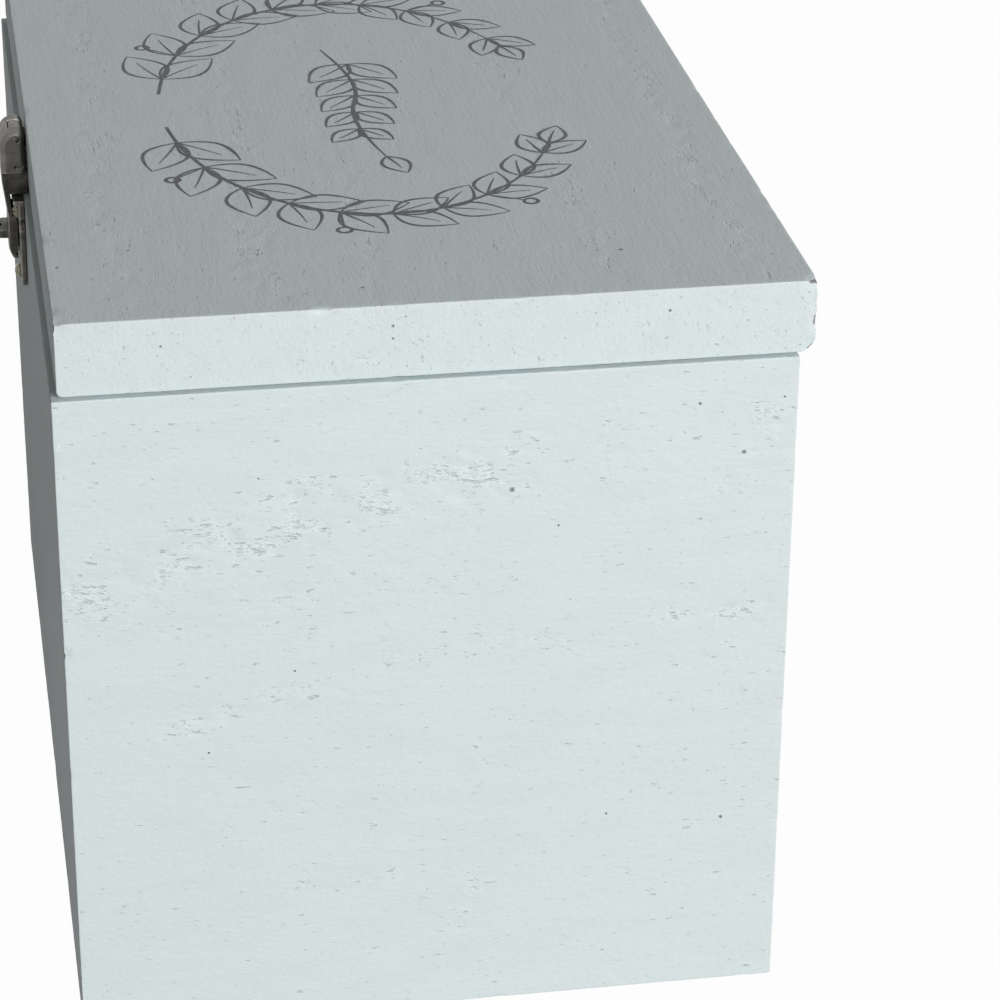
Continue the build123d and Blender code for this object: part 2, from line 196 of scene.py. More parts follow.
@dataclass(frozen=True)
class Pit:
    """Small deep pit in the paint, down to the wood."""

    place_mm: tuple[float, float, float]
    radius_mm: float = 0.55


@dataclass(frozen=True)
class PaintedWood:
    """Water-based furniture paint, sprayed on planed softwood and not sanded after.

    The planer tore slivers out of the grain, in clusters, and the paint keeps their ragged shape.
    Their hollows are painted darker as painted shade, and their rims lighter as a painted highlight.
    """

    name: str
    grain: Grain
    pits: tuple[Pit, ...] = ()
    paint: str = "#dfeaeb"
    warm_paint: str = "#dde3e1"
    # The darker tint below is laid in the torn slivers' hollows as painted shade.
    sliver_shade_paint: str = "#bcc6c4"
    # The lighter tint below is laid on the slivers' rims as a painted highlight.
    rim_highlight_paint: str = "#edf8f9"
    bare: str = "#6e6d69"
    warm_share: float = 0.25
    sliver_shade_share: float = 0.1
    rim_highlight_share: float = 0.75
    bare_share: float = 0.85
    roughness: float = 0.62
    ior: float = 1.5
    torn_mm: tuple[float, float] = (3.2, 0.9)
    torn_depth_mm: float = 0.16
    fleck_mm: tuple[float, float] = (1.3, 0.5)
    fleck_depth_mm: float = 0.075
    sliver_range: tuple[float, float] = (0.64, 0.78)
    rim_highlight_range: tuple[float, float] = (0.58, 0.64)
    cluster_mm: tuple[float, float] = (9.0, 5.0)
    cluster_range: tuple[float, float] = (0.42, 0.64)
    cluster_lift: float = 0.12
    stray_share: float = 0.06
    line_mm: tuple[float, float] = (7.0, 0.55)
    line_range: tuple[float, float] = (0.52, 0.66)
    line_height_mm: float = 0.01
    streak_mm: tuple[float, float] = (18.0, 1.6)
    streak_height_mm: float = 0.04
    peel_mm: tuple[float, float] = (1.3, 0.8)
    peel_height_mm: float = 0.085
    blotch_mm: tuple[float, float] = (16.0, 5.0)
    blotch_range: tuple[float, float] = (0.42, 0.62)
    ragged_mm: float = 0.8
    chip_range: tuple[float, float] = (0.38, 0.5)
    pit_depth_mm: float = 0.3
    pit_share: float = 0.8
    pit_slope: tuple[float, float] = (0.75, 0.2)
    pit_grit_mm: float = 0.625

    def stretched(self, size_mm: tuple[float, float]) -> tuple[float, float, float]:
        """Turn a blotch's two sizes into one for each axis.

        Args:
            size_mm: Size along the grain and across it.

        Returns:
            Sizes along X, Y and Z.
        """
        along, across = size_mm
        size = [across, across, across]
        size[self.grain.value] = along
        return tuple(size)

    def slivers(
        self, tree: bpy.types.NodeTree, size_mm: tuple[float, float], share: bpy.types.NodeSocket
    ) -> tuple[bpy.types.NodeSocket, bpy.types.NodeSocket]:
        """Scatter ragged slivers of missing wood, longer along the grain.

        Args:
            tree: Node tree of the material.
            size_mm: Size of the noise along the grain and across it.
            share: Socket that says how many slivers a place has, from 0 to 1.

        Returns:
            The sockets that give the depth and the painted highlight on the rims, each from 0 to 1.
        """
        ragged = mapped_noise(tree, self.stretched(size_mm), 4.0, 0.66)
        raised = combine(tree, "ADD", ragged, combine(tree, "MULTIPLY", share, self.cluster_lift))
        depth = remap(tree, raised, self.sliver_range)
        rims = combine(tree, "SUBTRACT", remap(tree, raised, self.rim_highlight_range), depth)
        return depth, combine(tree, "MULTIPLY", rims, share)

    def pit_field(self, tree: bpy.types.NodeTree) -> bpy.types.NodeSocket | float:
        """Sink the paint's own pits.

        Args:
            tree: Node tree of the material.

        Returns:
            The deepest pit at each place, from 0 to 1, or a plain 0 where there are no pits.
        """
        place = add(tree, "ShaderNodeTexCoord", {}, {}).outputs["Object"]
        grit = add(tree, "ShaderNodeTexNoise", {}, {
            "Vector": place, "Scale": 1 / (self.pit_grit_mm * MM), "Detail": 3.0,
        })
        stretch = combine(tree, "ADD", grit.outputs[0], 0.5)
        deepest = 0.0
        for pit in self.pits:
            centre = tuple(part * MM for part in pit.place_mm)
            away = add(tree, "ShaderNodeVectorMath", {"operation": "DISTANCE"}, {0: place, 1: centre})
            ragged = combine(tree, "MULTIPLY", away.outputs["Value"], stretch)
            rim, floor = [share * pit.radius_mm * MM for share in self.pit_slope]
            depth = remap(tree, ragged, (rim, floor), (0.0, self.pit_share))
            deepest = combine(tree, "MAXIMUM", depth, deepest)
        return deepest

    def material(self) -> bpy.types.Material:
        """Build the paint, whose relief and wear follow the board's own attributes.

        Returns:
            The finished material.
        """
        material, tree = new_material(self.name)
        wear = add(tree, "ShaderNodeAttribute", {"attribute_name": "wear"}, {}).outputs["Fac"]
        coarse = add(tree, "ShaderNodeAttribute", {"attribute_name": "coarse"}, {}).outputs["Fac"]

        clusters = remap(tree, mapped_noise(tree, self.stretched(self.cluster_mm), 2.0), self.cluster_range)
        share = combine(tree, "MULTIPLY", combine(tree, "ADD", coarse, self.stray_share), clusters)
        torn, torn_rim_highlight = self.slivers(tree, self.torn_mm, share)
        flecks, fleck_rim_highlight = self.slivers(tree, self.fleck_mm, share)
        lines = remap(tree, mapped_noise(tree, self.stretched(self.line_mm), 2.0), self.line_range)
        streaks = mapped_noise(tree, self.stretched(self.streak_mm), 3.0)
        peel = mapped_noise(tree, self.stretched(self.peel_mm), 3.0, 0.6)
        blotches = mapped_noise(tree, self.stretched(self.blotch_mm), 3.0)
        pits = self.pit_field(tree)

        warm = remap(tree, blotches, self.blotch_range, (0.0, self.warm_share))
        colour = tint(tree, linear(self.paint), linear(self.warm_paint), warm)
        # Darken the torn slivers' hollows: painted shade.
        painted_sliver_shade = combine(tree, "MULTIPLY", combine(tree, "MAXIMUM", torn, flecks), self.sliver_shade_share)
        colour = tint(tree, colour, linear(self.sliver_shade_paint), painted_sliver_shade)
        # Lighten the slivers' rims: a painted highlight.
        rims = combine(tree, "MAXIMUM", torn_rim_highlight, fleck_rim_highlight, 0.0)
        painted_rim_highlight = combine(tree, "MULTIPLY", rims, self.rim_highlight_share)
        colour = tint(tree, colour, linear(self.rim_highlight_paint), painted_rim_highlight)
        edge_grit = mapped_noise(tree, (self.ragged_mm,) * 3, 3.0, 0.65)
        chipped = combine(tree, "MULTIPLY", wear, combine(tree, "ADD", edge_grit, 0.5))
        worn = combine(tree, "MAXIMUM", remap(tree, chipped, self.chip_range, (0.0, self.bare_share)), pits)
        colour = tint(tree, colour, linear(self.bare), worn)

        height_mm = combine(
            tree, "ADD",
            combine(tree, "MULTIPLY", torn, -self.torn_depth_mm),
            combine(tree, "MULTIPLY", flecks, -self.fleck_depth_mm),
            combine(tree, "MULTIPLY", lines, -self.line_height_mm),
            combine(tree, "MULTIPLY", streaks, self.streak_height_mm),
            combine(tree, "MULTIPLY", peel, self.peel_height_mm),
            combine(tree, "MULTIPLY", pits, -self.pit_depth_mm),
        )
        bump = add(tree, "ShaderNodeBump", {}, {"Height": height_mm, "Strength": 1.0, "Distance": MM})
        shader = add(tree, "ShaderNodeBsdfPrincipled", {}, {
            "Base Color": colour, "Roughness": self.roughness, "IOR": self.ior, "Normal": bump.outputs[0],
        })
        finish_material(tree, shader)
        return material


@dataclass(frozen=True)
class AgedMetal:
    """Small cast or stamped fittings in an antique finish.

    The dark finish stays in the hollows, and hands have rubbed the edges back to the metal.
    Some pieces are painted darker below a set height, as painted shade.
    """

    name: str
    dark: str
    rubbed: str
    # Darker colour laid on the low parts of some pieces: painted shade.
    painted_shade: str = "#2b2926"
    roughness: float = 0.45
    roughness_swing: float = 0.08
    mottle_mm: float = 3.0
    mottle_share: float = 0.25
    mottle_range: tuple[float, float] = (0.35, 0.7)
    sheen_range: tuple[float, float] = (0.3, 0.7)
    grit_mm: float = 0.4
    grit_height_mm: float = 0.012

    def material(self) -> bpy.types.Material:
        """Build the metal, rubbed bright where the piece's wear attribute says so.

        Returns:
            The finished material.
        """
        material, tree = new_material(self.name)
        wear = add(tree, "ShaderNodeAttribute", {"attribute_name": "wear"}, {}).outputs["Fac"]
        mottle = mapped_noise(tree, (self.mottle_mm,) * 3, 3.0)
        grit = mapped_noise(tree, (self.grit_mm,) * 3, 2.0)
        patches = remap(tree, mottle, self.mottle_range, (0.0, self.mottle_share))
        # Darken the piece's low parts: painted shade.
        painted_shade_amount = add(tree, "ShaderNodeAttribute", {"attribute_name": "painted_shade"}, {}).outputs["Fac"]
        colour = tint(tree, linear(self.dark), linear(self.painted_shade), painted_shade_amount)
        colour = tint(tree, colour, linear(self.rubbed), combine(tree, "MAXIMUM", wear, patches))
        bump = add(tree, "ShaderNodeBump", {}, {
            "Height": grit, "Strength": 1.0, "Distance": self.grit_height_mm * MM,
        })
        roughest, smoothest = self.roughness + self.roughness_swing, self.roughness - self.roughness_swing
        shader = add(tree, "ShaderNodeBsdfPrincipled", {}, {
            "Base Color": colour, "Metallic": 1.0, "Normal": bump.outputs[0],
            "Roughness": remap(tree, mottle, self.sheen_range, (roughest, smoothest)),
        })
        finish_material(tree, shader)
        return material


@dataclass(frozen=True)
class Plywood:
    """Thin plywood under one coat of the same paint, so its fine grain still shows."""

    name: str
    paint: str = "#d5dddc"
    grain: str = "#c3c6c0"
    roughness: float = 0.7
    pore_mm: tuple[float, float, float] = (9.0, 0.6, 0.6)
    pore_range: tuple[float, float] = (0.45, 0.7)
    pore_share: float = 0.7
    pore_depth_mm: float = 0.05

    def material(self) -> bpy.types.Material:
        """Build the painted plywood.

        Returns:
            The finished material.
        """
        material, tree = new_material(self.name)
        pores = mapped_noise(tree, self.pore_mm, 4.0)
        shown = remap(tree, pores, self.pore_range, (0.0, self.pore_share))
        colour = tint(tree, linear(self.paint), linear(self.grain), shown)
        bump = add(tree, "ShaderNodeBump", {}, {
            "Height": pores, "Strength": 1.0, "Distance": self.pore_depth_mm * MM,
        })
        shader = add(tree, "ShaderNodeBsdfPrincipled", {}, {
            "Base Color": colour, "Roughness": self.roughness, "Normal": bump.outputs[0],
        })
        finish_material(tree, shader)
        return material


@dataclass(frozen=True)
class PrintedInk:
    """Screen-printing ink: thin, matt and a soft black, a little patchy over the grain."""

    name: str
    ink: str = "#3f4345"
    thin_ink: str = "#5b6062"
    roughness: float = 0.6
    patch_mm: tuple[float, float, float] = (3.0, 0.8, 0.8)
    patch_range: tuple[float, float] = (0.4, 0.7)

    def material(self) -> bpy.types.Material:
        """Build the ink.

        Returns:
            The finished material.
        """
        material, tree = new_material(self.name)
        thin = remap(tree, mapped_noise(tree, self.patch_mm, 3.0), self.patch_range)
        colour = tint(tree, linear(self.ink), linear(self.thin_ink), thin)
        shader = add(tree, "ShaderNodeBsdfPrincipled", {}, {
            "Base Color": colour, "Roughness": self.roughness,
        })
        finish_material(tree, shader)
        return material


def merged_copy(node: str) -> bmesh.types.BMesh:
    """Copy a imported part's mesh with its loose triangles joined.

    Args:
        node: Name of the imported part.

    Returns:
        The copy, for a new piece.
    """
    work = bmesh.new()
    work.from_mesh(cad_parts[node].data)
    bmesh.ops.remove_doubles(work, verts=work.verts, dist=0.002 * MM)
    return work


def make_piece(
    work: bmesh.types.BMesh, name: str, material: bpy.types.Material, body: str,
    stands_for: tuple[str, ...] = (), sharp_degrees: float = 30.0,
) -> bpy.types.Object:
    """Turn a finished bmesh into a piece of the box.

    Args:
        work: The mesh, in the box's own frame. It is freed.
        name: Name of the piece.
        material: Its finish.
        body: Moving body that it rides on.
        stands_for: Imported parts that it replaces.
        sharp_degrees: Angle above which an edge stays sharp.

    Returns:
        The new object.
    """
    mesh = bpy.data.meshes.new(name)
    work.to_mesh(mesh)
    work.free()
    mesh.shade_smooth()
    mesh.set_sharp_from_angle(angle=math.radians(sharp_degrees))
    mesh.materials.append(material)
    piece = bpy.data.objects.new(name, mesh)
    bpy.context.scene.collection.objects.link(piece)
    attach(piece, body)
    if stands_for:
        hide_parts(*stands_for)
    LOG.info("%s: %d faces, on %s", name, len(mesh.polygons), body)
    return piece


@dataclass(frozen=True)
class CoarseGrain:
    """Stretch of torn grain between two places on a board's face."""

    start_mm: tuple[float, float, float]
    end_mm: tuple[float, float, float]
    half_width_mm: float
    strength: float = 1.0

    def at(self, place_mm: Vector) -> float:
        """Work out how coarse this stretch makes a place.

        Args:
            place_mm: Place on the board.

        Returns:
            Coarseness, from 0 to the stretch's strength.
        """
        start, end = Vector(self.start_mm), Vector(self.end_mm)
        run = end - start
        share = max(0.0, min(1.0, (place_mm - start).dot(run) / run.length_squared))
        distance = (place_mm - start - run * share).length
        return self.strength * max(0.0, 1.0 - (distance / self.half_width_mm) ** 2)


@dataclass(frozen=True)
class Knock:
    """Dent, nick or worn corner that changes the board's outline."""

    place_mm: tuple[float, float, float]
    radius_mm: float = 1.2
    depth_mm: float = 0.5
    wear: float = 0.3


@dataclass
class Board:
    """One painted board, with the relief and the wear of its own surface."""

    node: str
    body: str
    outward: tuple[int, int, int]
    grain: Grain
    bands: tuple[CoarseGrain, ...] = ()
    knocks: tuple[Knock, ...] = ()
    brads: str = ""
    brad_rows: int = 3
    brad_head_mm: float = 0.95
    step_mm: float = 0.9
    swell_mm: float = 0.08
    swell_length_mm: float = 30.0
    ripple_mm: float = 0.04
    ripple_size_mm: tuple[float, float] = (14.0, 3.2)
    tear_mm: float = 0.3
    tear_size_mm: tuple[float, float] = (3.6, 1.6)
    chip_mm: float = 0.4
    chip_size_mm: float = 5.0
    chip_reach_mm: float = 1.2
    chip_rarity: float = 0.34
    chip_wear: float = 0.9
    rub_wear: float = 0.2
    most_edge_wear: float = 0.36
    rub_size_mm: float = 9.0
    shell_mm: float = 1.0
    weld_mm: float = 0.02
    inward_limit: float = -0.5

    def build(self, material: bpy.types.Material) -> bpy.types.Object:
        """Make the board's piece.

        Args:
            material: The paint for this board's grain.

        Returns:
            The board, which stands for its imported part.
        """
        work = merged_copy(self.node)
        stands_for = (self.node,)
        if self.brads:
            self.fill_brad_holes(work)
            stands_for = (self.node, self.brads)
        low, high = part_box(self.node)
        for axis in range(3):
            self.slice(work, axis, low[axis], high[axis])
        bmesh.ops.remove_doubles(work, verts=work.verts, dist=self.weld_mm * MM)
        bmesh.ops.recalc_face_normals(work, faces=work.faces)
        self.weather(work, low, high)
        return make_piece(work, f"{self.node}_painted", material, self.body, stands_for)

    def fill_brad_holes(self, work: bmesh.types.BMesh) -> None:
        """Close the holes over the brads' heads, as filler and paint do.

        Args:
            work: The board's mesh.
        """
        low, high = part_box(self.brads)
        radius = self.brad_head_mm * MM
        rows = [
            low.z + radius + (high.z - low.z - 2 * radius) * row / (self.brad_rows - 1)
            for row in range(self.brad_rows)
        ]
        places = [(y, z) for y in (low.y + radius, high.y - radius) for z in rows]
        reach = radius * 1.02

        def in_hole(vert: bmesh.types.BMVert) -> bool:
            """Whether a vertex is on the wall of a brad's hole."""
            return any(math.hypot(vert.co.y - y, vert.co.z - z) < reach for y, z in places)

        walls = [face for face in work.faces if all(in_hole(vert) for vert in face.verts)]
        bmesh.ops.delete(work, geom=walls, context="FACES")
        rims = [edge for edge in work.edges if edge.is_boundary]
        bmesh.ops.holes_fill(work, edges=rims, sides=0)

    def slice(self, work: bmesh.types.BMesh, axis: int, low: float, high: float) -> None:
        """Cut the board's outer faces into even strips across one axis, halving them again and again.

        With no outward direction, every face is cut.

        Args:
            work: The board's mesh.
            axis: Axis that the strips lie across.
            low: The board's start along it.
            high: The board's end along it.
        """
        count = math.ceil((high - low) / (self.step_mm * MM))
        direction = Vector([float(index == axis) for index in range(3)])

        def halve(faces: list[bmesh.types.BMFace], first: int, last: int) -> None:
            """Cut one stretch of strips in its middle, then each half.

            Args:
                faces: Faces in this stretch.
                first: Number of its first strip.
                last: Number of the strip after it.
            """
            if last - first < 2 or not faces:
                return
            middle = (first + last) // 2
            level = low + (high - low) * middle / count
            edges = {edge for face in faces for edge in face.edges}
            verts = {vert for face in faces for vert in face.verts}
            cut = bmesh.ops.bisect_plane(
                work, geom=[*faces, *edges, *verts], dist=0.001 * MM,
                plane_co=direction * level, plane_no=direction,
            )
            below, above = [], []
            for item in cut["geom"]:
                if isinstance(item, bmesh.types.BMFace):
                    (below if item.calc_center_bounds()[axis] < level else above).append(item)
            halve(below, first, middle)
            halve(above, middle, last)

        outward = Vector(self.outward)
        work.normal_update()
        halve([face for face in work.faces if face.normal.dot(outward) > self.inward_limit], 0, count)

    def weather(self, work: bmesh.types.BMesh, low: Vector, high: Vector) -> None:
        """Sink the surface by its swell, ripples, torn grain, chips and knocks, and note the wear.

        Args:
            work: The board's mesh.
            low: The board's lowest corner.
            high: Its highest corner.
        """
        wear = work.verts.layers.float.new("wear")
        coarse = work.verts.layers.float.new("coarse")
        work.normal_update()
        moves = []
        for vert in work.verts:
            place = vert.co / MM
            gaps = sorted(
                min(vert.co[axis] - low[axis], high[axis] - vert.co[axis]) / MM for axis in range(3)
            )
            if gaps[0] > self.shell_mm:
                continue
            vert[coarse] = min(1.0, sum(band.at(place) for band in self.bands))
            depth, worn = self.depth_at(place, math.hypot(gaps[0], gaps[1]), vert[coarse])
            vert[wear] = worn
            moves.append((vert, vert.normal * (-depth * MM)))
        for vert, move in moves:
            vert.co = [min(max(part, least), most) for part, least, most in zip(vert.co + move, low, high)]

    def depth_at(self, place_mm: Vector, edge_mm: float, coarse: float) -> tuple[float, float]:
        """Work out how deep the surface lies at one place.

        Args:
            place_mm: Place on the board.
            edge_mm: Distance from the board's nearest edge.
            coarse: How torn the grain is there.

        Returns:
            Depth in millimetres, and wear from 0 to 1.
        """
        swell = self.swell_mm * (0.6 + 0.4 * noise.noise(place_mm / self.swell_length_mm))
        ripple = self.ripple_mm * (0.5 + 0.5 * noise.noise(self.along_grain(place_mm, self.ripple_size_mm)))
        tear = self.tear_mm * coarse * max(0.0, noise.noise(self.along_grain(place_mm, self.tear_size_mm)))
        near_edge = max(0.0, 1.0 - edge_mm / self.chip_reach_mm)
        broken = noise.fractal(place_mm / self.chip_size_mm, 1.0, 2.0, 4) - self.chip_rarity
        chip = near_edge * max(0.0, broken)
        rub = near_edge * max(0.0, 0.5 + noise.fractal(place_mm / self.rub_size_mm, 1.0, 2.0, 4))
        depth = swell + ripple + tear + self.chip_mm * chip
        worn = min(self.most_edge_wear, self.chip_wear * chip + self.rub_wear * rub)
        for knock in self.knocks:
            reach = (place_mm - Vector(knock.place_mm)).length / knock.radius_mm
            if reach < 1.0:
                share = (1.0 - reach * reach) * (0.6 + 0.6 * noise.noise(place_mm * 1.3))
                depth += knock.depth_mm * share
                worn = max(worn, knock.wear * share)
        return depth, worn

    def along_grain(self, place_mm: Vector, size_mm: tuple[float, float]) -> Vector:
        """Scale a place so that noise is longer along the grain than across it.

        Args:
            place_mm: Place on the board.
            size_mm: Size of the noise along the grain and across it.

        Returns:
            The place to read the noise at.
        """
        along, across = size_mm
        return Vector([
            part / (along if axis == self.grain.value else across) for axis, part in enumerate(place_mm)
        ])


@dataclass
class PaintedBoards:
    """The five painted boards: four round the box and one for its lid."""

    end_paint: PaintedWood = PaintedWood("painted_wood_across", Grain.ACROSS_BOX, (
        Pit((99, 52.7, 34.9)), Pit((99, 31.6, 37.5), 0.4), Pit((99, 54.2, 108.0), 0.7),
        Pit((99, 46.2, 117.7), 0.5), Pit((99, -39.3, 56.5), 0.4), Pit((99, 13.8, 103.7), 0.8),
        Pit((99, 22.0, 96.3), 0.35), Pit((99, -24.0, 71.5), 0.35), Pit((99, -29.5, 109.0), 0.3),
        Pit((99, 61.0, 118.0), 0.35),
        Pit((-99, 22, 81)), Pit((-99, -37, 23), 0.4), Pit((-99, 41, 104), 0.6),
    ))
    long_paint: PaintedWood = PaintedWood("painted_wood_along", Grain.ALONG_BOX, (
        Pit((79.9, 35.6, 139), 0.7), Pit((89.9, -10.4, 139), 0.7), Pit((74, -60.5, 139), 0.6),
        Pit((68, -48, 139), 0.45), Pit((71, -26, 139), 0.5), Pit((80, -55, 139), 0.45),
        Pit((98.3, -6.4, 135.2), 0.45), Pit((98.3, -6.4, 132.9), 0.35), Pit((98.3, 40.6, 135.0), 0.45),
        Pit((98.3, -45, 134), 0.35), Pit((-32, -63.5, 71), 0.6), Pit((57, -63.5, 38), 0.4),
        Pit((-60, 63.5, 66), 0.6),
    ), warm_share=0.3, stray_share=0.03)
    right_bands: tuple[CoarseGrain, ...] = (
        CoarseGrain((99, -60, 90), (99, -22, 103), 8.0, 0.9),
        CoarseGrain((99, -30, 100), (99, 12, 107), 7.0, 1.0),
        CoarseGrain((99, 12, 109), (99, 60, 114), 7.0, 0.5),
        CoarseGrain((99, 50, 101), (99, 60, 108), 4.0, 0.5),
        CoarseGrain((99, -46, 61), (99, -36, 63.5), 2.6, 1.0),
        CoarseGrain((99, -36, 64), (99, 8, 74.5), 3.0, 0.55),
        CoarseGrain((99, 8, 75), (99, 34, 73), 2.5, 0.4),
        CoarseGrain((99, 40, 76), (99, 60, 77), 2.6, 0.9),
        CoarseGrain((99, -44, 84), (99, 0, 88), 8.0, 0.3),
        CoarseGrain((99, -24, 28), (99, 9, 27), 3.0, 0.35),
        CoarseGrain((99, 3, 14), (99, 8, 24), 2.5, 0.7),
        CoarseGrain((99, 40, 36), (99, 56, 34), 2.5, 0.4),
    )
    right_knocks: tuple[Knock, ...] = (Knock((99, -63.5, 78.0)),)
    left_bands: tuple[CoarseGrain, ...] = (
        CoarseGrain((-99, -60, 40), (-99, 10, 47), 7.0, 0.8),
        CoarseGrain((-99, 0, 47), (-99, 60, 52), 5.0, 0.5),
        CoarseGrain((-99, -60, 88), (-99, 10, 96), 4.0, 0.7),
        CoarseGrain((-99, 10, 96), (-99, 60, 90), 4.0, 0.5),
    )
    left_knocks: tuple[Knock, ...] = (Knock((-99, 63.5, 40)),)
    front_bands: tuple[CoarseGrain, ...] = (
        CoarseGrain((-94, -63.5, 84), (94, -63.5, 92), 5.0, 0.6),
        CoarseGrain((-94, -63.5, 30), (40, -63.5, 24), 4.0, 0.5),
    )
    back_bands: tuple[CoarseGrain, ...] = (
        CoarseGrain((-94, 63.5, 50), (94, 63.5, 44), 6.0, 0.6),
        CoarseGrain((-20, 63.5, 98), (94, 63.5, 104), 4.0, 0.5),
    )
    lid_bands: tuple[CoarseGrain, ...] = (
        CoarseGrain((-98, -50, 139), (91, -50, 139), 5.0, 0.8),
        CoarseGrain((-98, -24, 139), (91, -27, 139), 6.0, 0.8),
        CoarseGrain((-98, -7, 139), (91, -8, 139), 4.0, 0.7),
        CoarseGrain((-98, 27, 139), (91, 32, 139), 5.0, 0.6),
        CoarseGrain((-98, 57, 139), (91, 57, 139), 4.0, 0.9),
        CoarseGrain((98.3, -12, 129), (98.3, -2, 131), 2.0, 0.5),
    )
    lid_knocks: tuple[Knock, ...] = (
        Knock((97.8, 66.0, 138.5), 2.2, 0.5, 1.0), Knock((98.2, 66.2, 134.6), 1.2, 0.3, 0.8),
        Knock((98.2, 66.2, 131.4), 1.8, 0.35, 1.0), Knock((97.6, 65.2, 126.8), 1.8, 0.35, 0.9),
        Knock((98.2, -61.9, 138.7), 1.6, 0.5, 0.5), Knock((98.3, -18.0, 139.0), 1.2, 0.4, 0.3),
        Knock((98.3, 24.0, 139.0), 1.0, 0.3, 0.3), Knock((92.0, -62.5, 139.0), 1.4, 0.4, 0.6),
        Knock((61.0, -62.5, 139.0), 1.2, 0.4, 0.6),
    )

    def build(self) -> None:
        """Make the boards."""
        across, along = self.end_paint.material(), self.long_paint.material()
        Board("right_end_board", "box", (1, 0, 0), Grain.ACROSS_BOX, self.right_bands, self.right_knocks,
              "right_end_brads", step_mm=0.75).build(across)
        Board("left_end_board", "box", (-1, 0, 0), Grain.ACROSS_BOX, self.left_bands, self.left_knocks,
              "left_end_brads").build(across)
        Board("front_board", "box", (0, -1, 0), Grain.ALONG_BOX, self.front_bands).build(along)
        Board("back_board", "box", (0, 1, 0), Grain.ALONG_BOX, self.back_bands).build(along)
        Board("lid_board", "lid", (0, 0, 0), Grain.ALONG_BOX, self.lid_bands, self.lid_knocks,
              step_mm=1.0).build(along)


